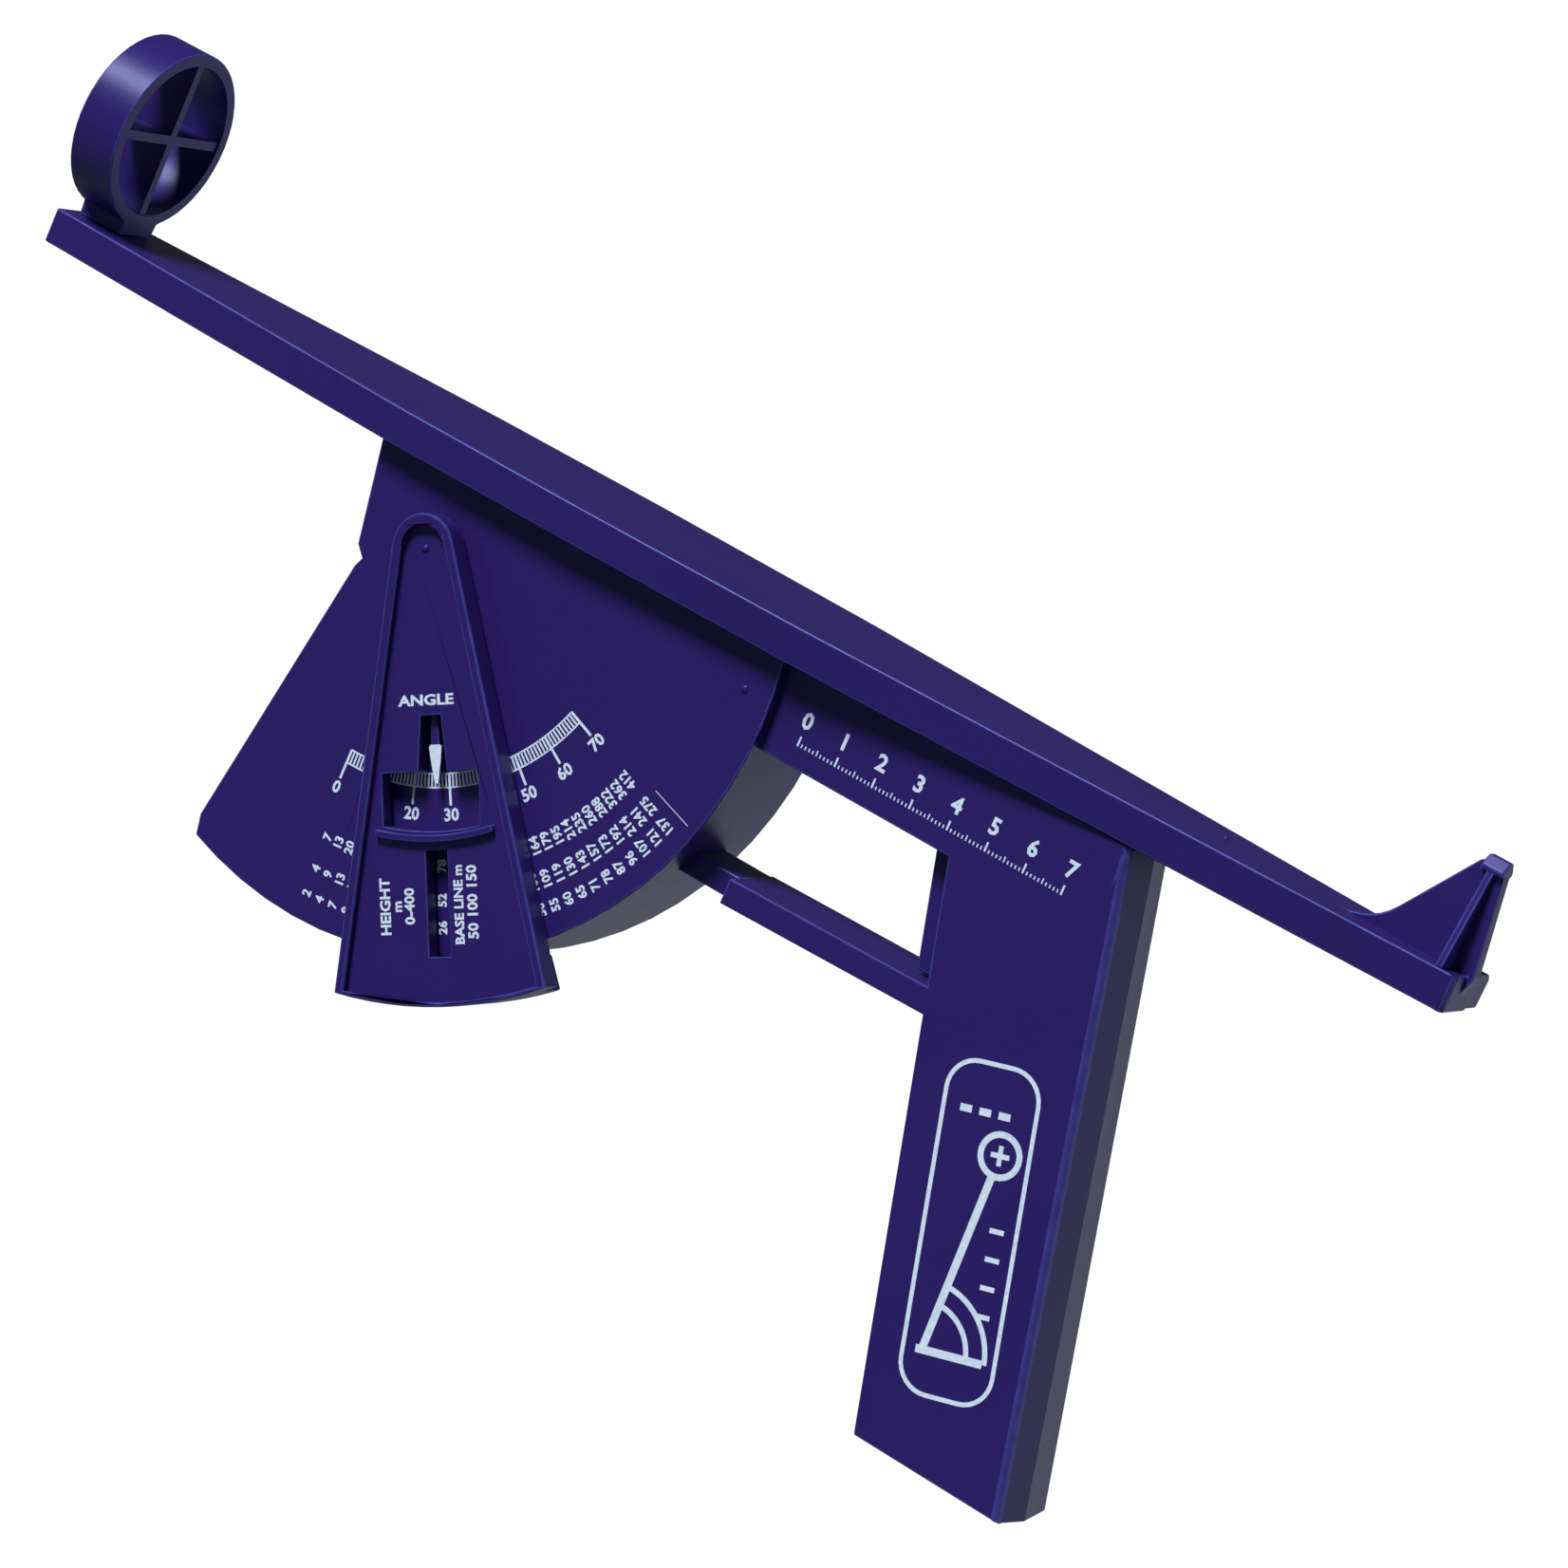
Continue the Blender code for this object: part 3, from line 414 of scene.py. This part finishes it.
class Print:
    """Thin ink shapes on a flat face, collected into one piece."""

    def __init__(self, name, body, depth, turn=0.0):
        self.name, self.body, self.depth = name, body, depth
        self.turn, self.strokes = turn, 0
        self.builder = bmesh.new()

    def spot(self, x, z, y):
        """A drawn point turned about the pivot by the piece's own angle."""
        return place(x * cos(self.turn) - z * sin(self.turn), y, x * sin(self.turn) + z * cos(self.turn))

    def strip(self, inner, outer):
        """A closed thin band between two polylines of the same length."""
        self.strokes += 1
        lift = INK_STEP * (self.strokes % 6)
        near, far = self.depth - INK + lift, self.depth + SINK + lift
        layers = [[[self.builder.verts.new(self.spot(x, z, y)) for x, z in line] for line in (inner, outer)]
                  for y in (near, far)]
        (a, b), (c, d) = layers
        new = self.builder.faces.new
        for i in range(len(inner) - 1):
            j = i + 1
            new((a[i], a[j], b[j], b[i]))
            new((c[i], d[i], d[j], c[j]))
            new((a[j], a[i], c[i], c[j]))
            new((b[i], b[j], d[j], d[i]))
        new((a[0], b[0], d[0], c[0]))
        new((a[-1], c[-1], d[-1], b[-1]))

    def line(self, start, end, width):
        """A straight stroke."""
        along = (Vector(end) - Vector(start)).normalized()
        side = Vector((-along.y, along.x)) * width / 2
        first, last = Vector(start), Vector(end)
        self.strip([first + side, last + side], [first - side, last - side])

    def arc(self, radius, end, width):
        """A curved stroke about the pivot, from straight down towards +X up to an angle in radians."""
        turns = [end * i / 48 for i in range(49)]
        inner, outer = ([on_dial(r, a) for a in turns] for r in (radius - width / 2, radius + width / 2))
        self.strip(inner, outer)

    def loop(self, outline, width):
        """A closed outline of the given stroke width, drawn as one band."""
        count = len(outline)
        inner, outer = [], []
        for i in range(count):
            before, here, after = (Vector(outline[k % count]) for k in (i - 1, i, i + 1))
            along = ((here - before).normalized() + (after - here).normalized()).normalized()
            side = Vector((-along.y, along.x)) * width / 2
            inner.append(here + side)
            outer.append(here - side)
        self.strip(inner + inner[:1], outer + outer[:1])

    def text(self, words, x, z, size, angle=0.0, stretch=1.0):
        """Characters centred on a spot; angle turns them anticlockwise on the face."""
        curve = bpy.data.curves.new("glyphs", "FONT")
        curve.body = words
        curve.size = size
        curve.align_x, curve.align_y = "CENTER", "CENTER"
        curve.resolution_u = 2
        curve.extrude = (INK + SINK) / 2
        curve.offset = size * 0.03
        carrier = bpy.data.objects.new("glyphs", curve)
        bpy.context.scene.collection.objects.link(carrier)
        graph = bpy.context.evaluated_depsgraph_get()
        graph.update()
        mesh = bpy.data.meshes.new_from_object(carrier.evaluated_get(graph))
        middle = self.depth + (SINK - INK) / 2
        for vertex in mesh.vertices:
            across, up = vertex.co.x * stretch, vertex.co.y
            vertex.co = self.spot(x + across * cos(angle) - up * sin(angle),
                                  z + across * sin(angle) + up * cos(angle), middle - vertex.co.z)
        self.builder.from_mesh(mesh)
        bpy.data.objects.remove(carrier)
        bpy.data.curves.remove(curve)
        bpy.data.meshes.remove(mesh)

    def done(self):
        """Make the piece."""
        bmesh.ops.remove_doubles(self.builder, verts=self.builder.verts, dist=1e-7)
        bmesh.ops.recalc_face_normals(self.builder, faces=self.builder.faces)
        mesh = bpy.data.meshes.new(self.name)
        self.builder.to_mesh(mesh)
        self.builder.free()
        mesh.materials.append(WHITE_INK)
        piece = bpy.data.objects.new(self.name, mesh)
        bpy.context.scene.collection.objects.link(piece)
        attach(piece, self.body)
        return piece


def dial_print():
    """The degree scale with its numbers, and three rows of heights for three base lengths."""
    dial = Print("dial_print", "body", face_depth("body_front_shell", 40.0, -30.0))
    scale_from, scale_to, long_to, numbers = 49.9, 53.0, 57.0, 59.2
    for radius in (scale_from, scale_to):
        dial.arc(radius, radians(70), 0.35)
    for degree in range(71):
        angle = radians(degree)
        reach, width = (long_to, 0.6) if degree % 10 == 0 else (scale_to, 0.42)
        dial.line(on_dial(scale_from, angle), on_dial(reach, angle), width)
    for degree in range(0, 80, 10):
        dial.text(str(degree), *on_dial(numbers, radians(degree)), 3.9, radians(degree))
    for base, radius in ((150, 70.4), (100, 78.0), (50, 84.1)):
        for column in range(1, 29):
            angle = radians(2.5 * column)
            height = round(base * tan(angle))
            dial.text(str(height), *on_dial(radius, angle), 3.05, angle + pi / 2)
    dial.line(on_dial(77.0, radians(72.6)), on_dial(88.0, radians(72.6)), 0.16)
    return dial.done()


def panel_print():
    """A centimetre rule along the panel under the sight bar."""
    rule = Print("panel_rule_print", "body", face_depth("body_front_shell", 130.0, 6.0))
    zero, foot = 99.0, 0.7
    for number in range(8):
        x = zero + 10.0 * number
        rule.text(str(number), x, 6.4, 5.2)
        rule.line((x, 2.9), (x, foot), 0.45)
    for tick in range(71):
        x = zero + tick
        if tick % 10:
            rule.line((x, 2.0 if tick % 5 == 0 else 1.5), (x, foot), 0.3)
    return rule.done()


def grip_print():
    """An elevation-angle pictogram in a rounded frame that leans with the grip."""
    mark = Print("grip_mark_print", "body", HANDLE_DEPTH)
    middle, up = Vector(GRIP_MARK), Vector((-0.274, 0.962)).normalized()
    right = Vector((up.y, -up.x))

    def at(u, v):
        return middle + right * u + up * v

    def around(u, v, radius, turns):
        return [at(u + radius * cos(a), v + radius * sin(a)) for a in turns]

    half_w, half_h, corner = 11.0, 36.5, 7.0
    inset_w, inset_h = half_w - corner, half_h - corner
    outline = []
    for u, v, start in ((inset_w, inset_h, 0), (-inset_w, inset_h, 90), (-inset_w, -inset_h, 180),
                        (inset_w, -inset_h, 270)):
        outline += around(u, v, corner, [radians(start + 90 * i / 8) for i in range(9)])
    mark.loop(outline, 1.0)

    eye_u, eye_v = -6.5, -27.0
    mark.line(at(eye_u - 1.5, eye_v), at(8.0, eye_v), 1.8)
    mark.line(at(eye_u, eye_v), at(3.0, 13.0), 1.8)
    for radius in (10.5, 15.0):
        turns = [radians(a) for a in range(0, 76, 5)]
        inner, outer = (around(eye_u, eye_v, r, turns) for r in (radius - 0.6, radius + 0.6))
        mark.strip(inner, outer)

    target_u, target_v, cross = 4.1, 17.6, 2.2
    mark.loop(around(target_u, target_v, 4.6, [2 * pi * i / 32 for i in range(32)]), 1.4)
    mark.line(at(target_u, target_v - cross), at(target_u, target_v + cross), 1.1)
    mark.line(at(target_u - cross, target_v), at(target_u + cross, target_v), 1.1)

    for step in range(4):
        v = -17.0 + 6.2 * step
        mark.line(at(4.6, v), at(8.0, v), 1.1)
    for u in (-7.0, -2.4, 2.2):
        mark.line(at(u, 26.0), at(u + 2.8, 26.0), 1.6)
    return mark.done()


def arm_depth(x, z):
    """Depth of the pendulum's face at a spot drawn on it as if it hung straight down."""
    turned = Matrix.Rotation(READING, 2) @ Vector((x, z))
    return face_depth("pendulum_arm", *turned)


def pendulum_print():
    """Legends beside the pendulum's slots."""
    legend = Print("pendulum_print", "pendulum", arm_depth(-8.0, -75.0), READING)
    legend.text("ANGLE", -1.4, -33.6, 3.3, stretch=1.35)
    for words, x, z, size in (("HEIGHT", -13.9, LEGEND_Z, 3.6), ("m", -10.8, LEGEND_Z, 3.3),
                              ("0-400", -7.6, LEGEND_Z, 3.5), ("BASE LINE m", 5.1, LEGEND_Z, 3.2),
                              ("50 100 150", 8.6, LEGEND_Z + 0.5, 3.6)):
        legend.text(words, x, z, size, pi / 2)
    return legend.done()


def needle_print():
    """The white tip of the needle."""
    x = -0.7
    tip = Print("needle_tip_print", "pendulum", arm_depth(x, -45.5), READING)
    left = [(x - 1.1, -43.4), (x - 1.6, -43.9), (x - 1.3, -46.6), (x - 0.45, -52.0)]
    right = [(2 * x - px, pz) for px, pz in left]
    tip.strip(left, right)
    return tip.done()


def mould_mark(builder, centre, normal, radius):
    """A small domed ejector mark."""
    normal = Vector(normal).normalized()
    across = normal.orthogonal().normalized()
    other = normal.cross(across)
    rings = []
    for reach, rise in ((1.0, -0.3), (1.0, 0.05), (0.82, 0.34), (0.45, 0.52)):
        rings.append([builder.verts.new(centre + (across * cos(a) + other * sin(a)) * radius * reach * MM
                                        + normal * radius * rise * MM)
                      for a in (2 * pi * i / 16 for i in range(16))])
    for lower, upper in zip(rings, rings[1:]):
        for i in range(16):
            j = (i + 1) % 16
            builder.faces.new((lower[i], lower[j], upper[j], upper[i]))
    builder.faces.new(rings[0])
    builder.faces.new(rings[-1])


def mould_marks(name, body, spots):
    """The ejector marks of one body as a piece."""
    builder = bmesh.new()
    for spot in spots:
        mould_mark(builder, *spot)
    bmesh.ops.recalc_face_normals(builder, faces=builder.faces)
    mesh = bpy.data.meshes.new(name)
    builder.to_mesh(mesh)
    builder.free()
    mesh.shade_smooth()
    mesh.materials.append(PLASTIC)
    piece = bpy.data.objects.new(name, mesh)
    bpy.context.scene.collection.objects.link(piece)
    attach(piece, body)


mould_marks("body_mould_marks", "body",
            [(place(83.3, face_depth("body_front_shell", 83.3, 6.6), 6.6), (0, -1, 0), 0.9),
             (place(191.6, 3.2, 25.3), (0, 0, 1), 0.8)])
mould_marks("pendulum_mould_mark", "pendulum",
            [(place(0.0, face_depth("pendulum_arm", 0.0, 0.0), 0.0), (0, -1, 0), 0.9)])
dial_print()
panel_print()
grip_print()
pendulum_print()
needle_print()


# ---------------------------------------------------------------- stage, light and camera

def stage_floor():
    """A wide pale floor well below the hand-held part."""
    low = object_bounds()[0].z - FLOOR_DROP
    builder = bmesh.new()
    for x, y in ((-1, -1), (1, -1), (1, 1), (-1, 1)):
        builder.verts.new((x * FLOOR_REACH, y * FLOOR_REACH, low))
    builder.faces.new(builder.verts)
    mesh = bpy.data.meshes.new("floor")
    builder.to_mesh(mesh)
    builder.free()
    mesh.materials.append(studio_floor())
    floor = bpy.data.objects.new("floor", mesh)
    bpy.context.scene.collection.objects.link(floor)
    floor.visible_diffuse = False
    floor.visible_glossy = False


def sun(name, towards, strength, spread):
    """A soft distant light that shines along a direction; its spread is in degrees."""
    data = bpy.data.lights.new(name, "SUN")
    data.energy = strength
    data.angle = radians(spread)
    lamp = bpy.data.objects.new(name, data)
    lamp.rotation_mode = "QUATERNION"
    lamp.rotation_quaternion = Vector(towards).to_track_quat("-Z", "Y")
    bpy.context.scene.collection.objects.link(lamp)


def surroundings():
    """Soft white surroundings, brighter below than overhead, with a pale card off to the right."""
    world = bpy.data.worlds.new("studio")
    bpy.context.scene.world = world
    world.use_nodes = True
    nodes, links = world.node_tree.nodes, world.node_tree.links
    background = nodes["Background"]
    direction = nodes.new("ShaderNodeTexCoord")
    split = nodes.new("ShaderNodeSeparateXYZ")
    links.new(direction.outputs["Generated"], split.inputs["Vector"])
    level = nodes.new("ShaderNodeMapRange")
    for name, value in (("From Min", -0.2), ("From Max", 0.25), ("To Min", 0.20), ("To Max", 0.05)):
        level.inputs[name].default_value = value
    links.new(split.outputs["Z"], level.inputs["Value"])
    facing = nodes.new("ShaderNodeVectorMath")
    facing.operation = "DOT_PRODUCT"
    facing.inputs[1].default_value = Vector((0.52, 0.80, -0.30)).normalized()
    links.new(direction.outputs["Generated"], facing.inputs[0])
    card = nodes.new("ShaderNodeMapRange")
    card.interpolation_type = "SMOOTHSTEP"
    for name, value in (("From Min", 0.55), ("From Max", 0.95), ("To Min", 0.0), ("To Max", 0.36)):
        card.inputs[name].default_value = value
    links.new(facing.outputs["Value"], card.inputs["Value"])
    total = nodes.new("ShaderNodeMath")
    links.new(level.outputs["Result"], total.inputs[0])
    links.new(card.outputs["Result"], total.inputs[1])
    links.new(total.outputs["Value"], background.inputs["Strength"])
    background.inputs["Color"].default_value = (0.97, 0.98, 1.0, 1.0)


def camera():
    """The camera at the photograph's viewing angle."""
    up = Vector((-0.4507, 0.0119, 0.8926))
    forward = Vector((-0.4125, 0.884, -0.22)).normalized()
    up = (up - up.dot(forward) * forward).normalized()
    right = forward.cross(up)
    data = bpy.data.cameras.new("camera")
    data.sensor_width = 36.0
    data.lens = 139.1
    data.clip_start, data.clip_end = 0.05, 300.0
    made = bpy.data.objects.new("camera", data)
    turn = Matrix((right, up, -forward)).transposed().to_4x4()
    made.matrix_world = Matrix.Translation((0.4427, -1.1687, 0.4054)) @ turn
    bpy.context.scene.collection.objects.link(made)
    bpy.context.scene.camera = made


stage_floor()
surroundings()
sun("key", (0.40, 0.58, -0.80), 4.2, 18.0)
sun("rear_fill", (-0.95, -0.10, -0.10), 0.7, 40.0)
camera()
bpy.context.scene.view_settings.view_transform = "Standard"
